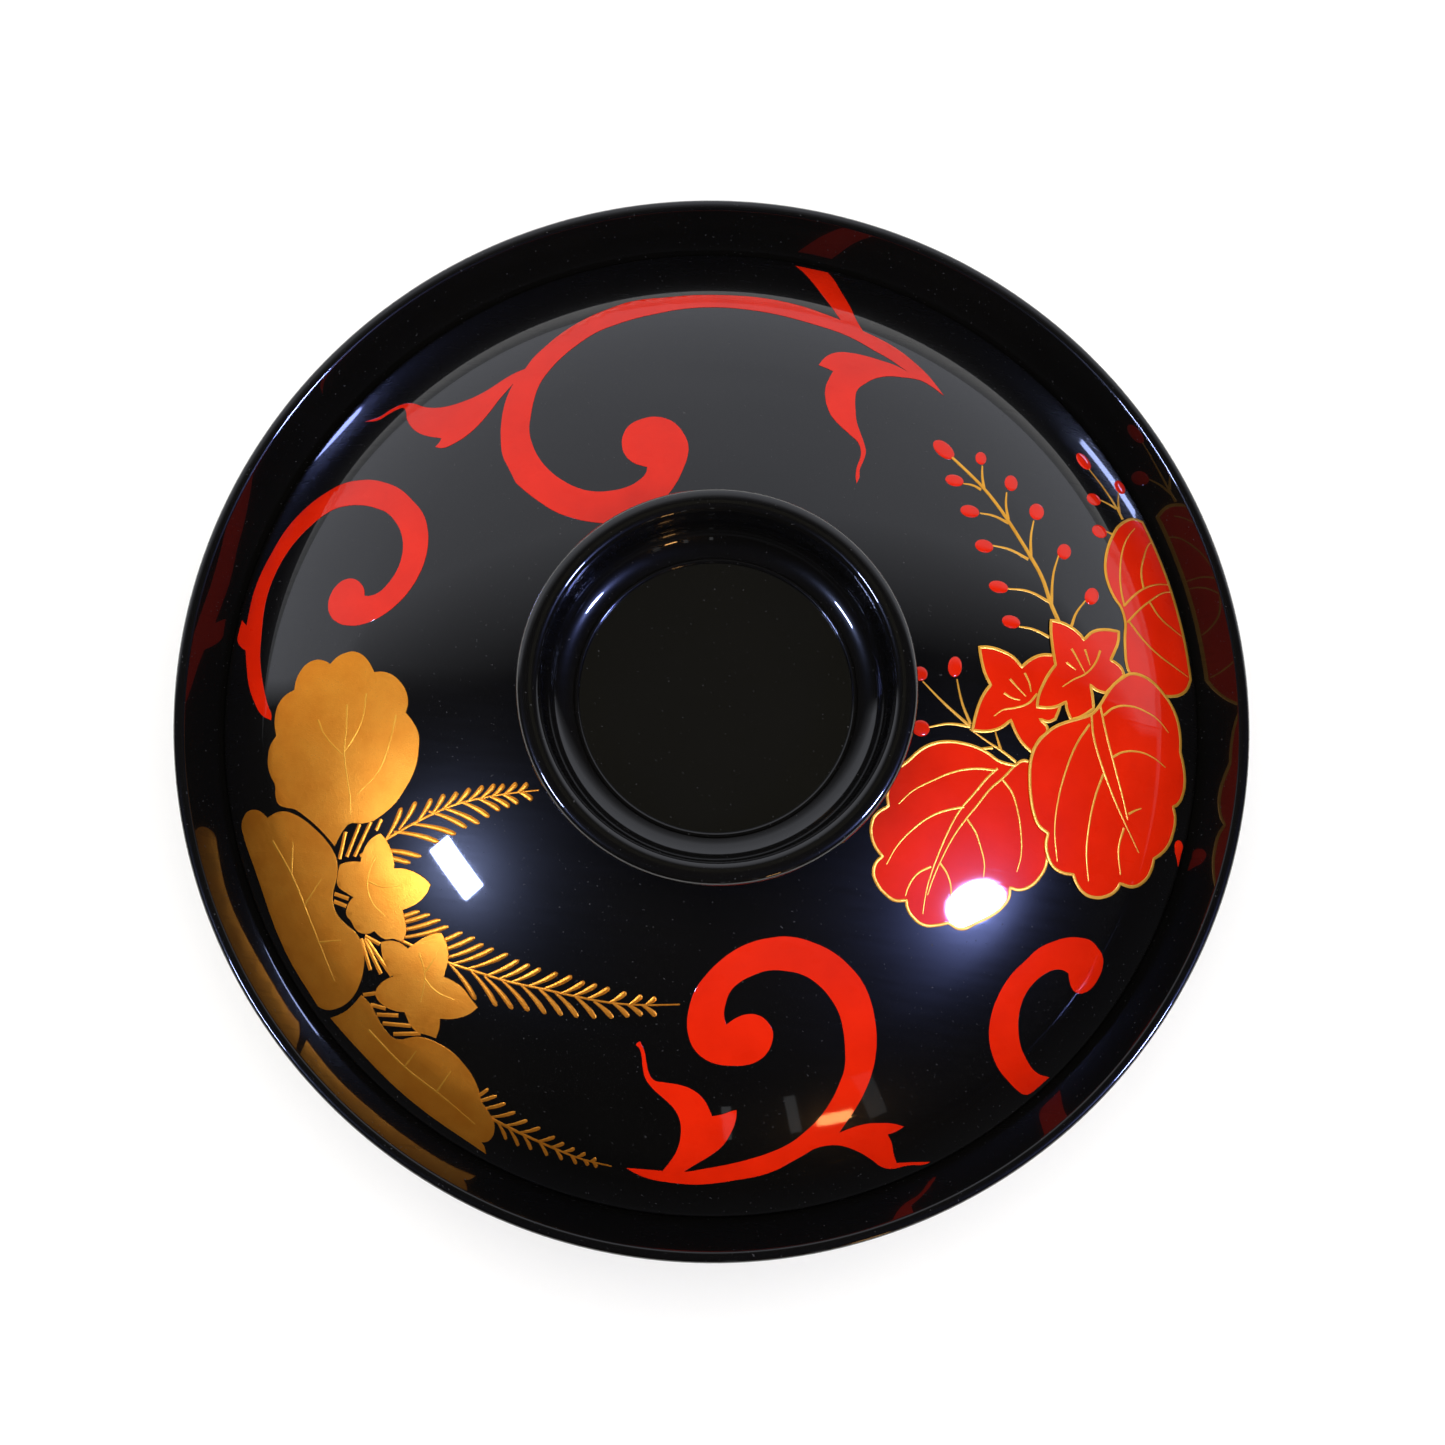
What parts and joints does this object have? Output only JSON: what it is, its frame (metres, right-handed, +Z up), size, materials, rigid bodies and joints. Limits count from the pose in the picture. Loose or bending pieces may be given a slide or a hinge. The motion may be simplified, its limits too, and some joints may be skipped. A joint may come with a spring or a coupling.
{
  "type": "lidded rice bowl",
  "caption": "Black lacquered rice bowl with a flared rim, a foot ring and a domed lift-off lid with a grip ring and painted leaves.",
  "frame": {"origin": "centre of the foot ring, on the plane it rests on", "axes": "+Z up along the turning axis of the bowl and the lid"},
  "size_m": [0.136, 0.136, 0.0915],
  "materials": {
    "core_wood": "turned, bare under the lacquer",
    "black_lacquer": "deep gloss",
    "vermilion_lacquer": "gloss",
    "gold_powder": "satin metallic powder"
  },
  "bodies": {
    "bowl": {"bowl_core": "core_wood", "bowl_lacquer": "black_lacquer"},
    "lid": {"lid_core": "core_wood", "lid_lacquer": "black_lacquer"}
  },
  "joints": [
    {"name": "lid_lift", "type": "slide", "parent": "bowl", "child": "lid", "axis": [0, 0, 1], "range_m": [0, 0.08]}
  ]
}
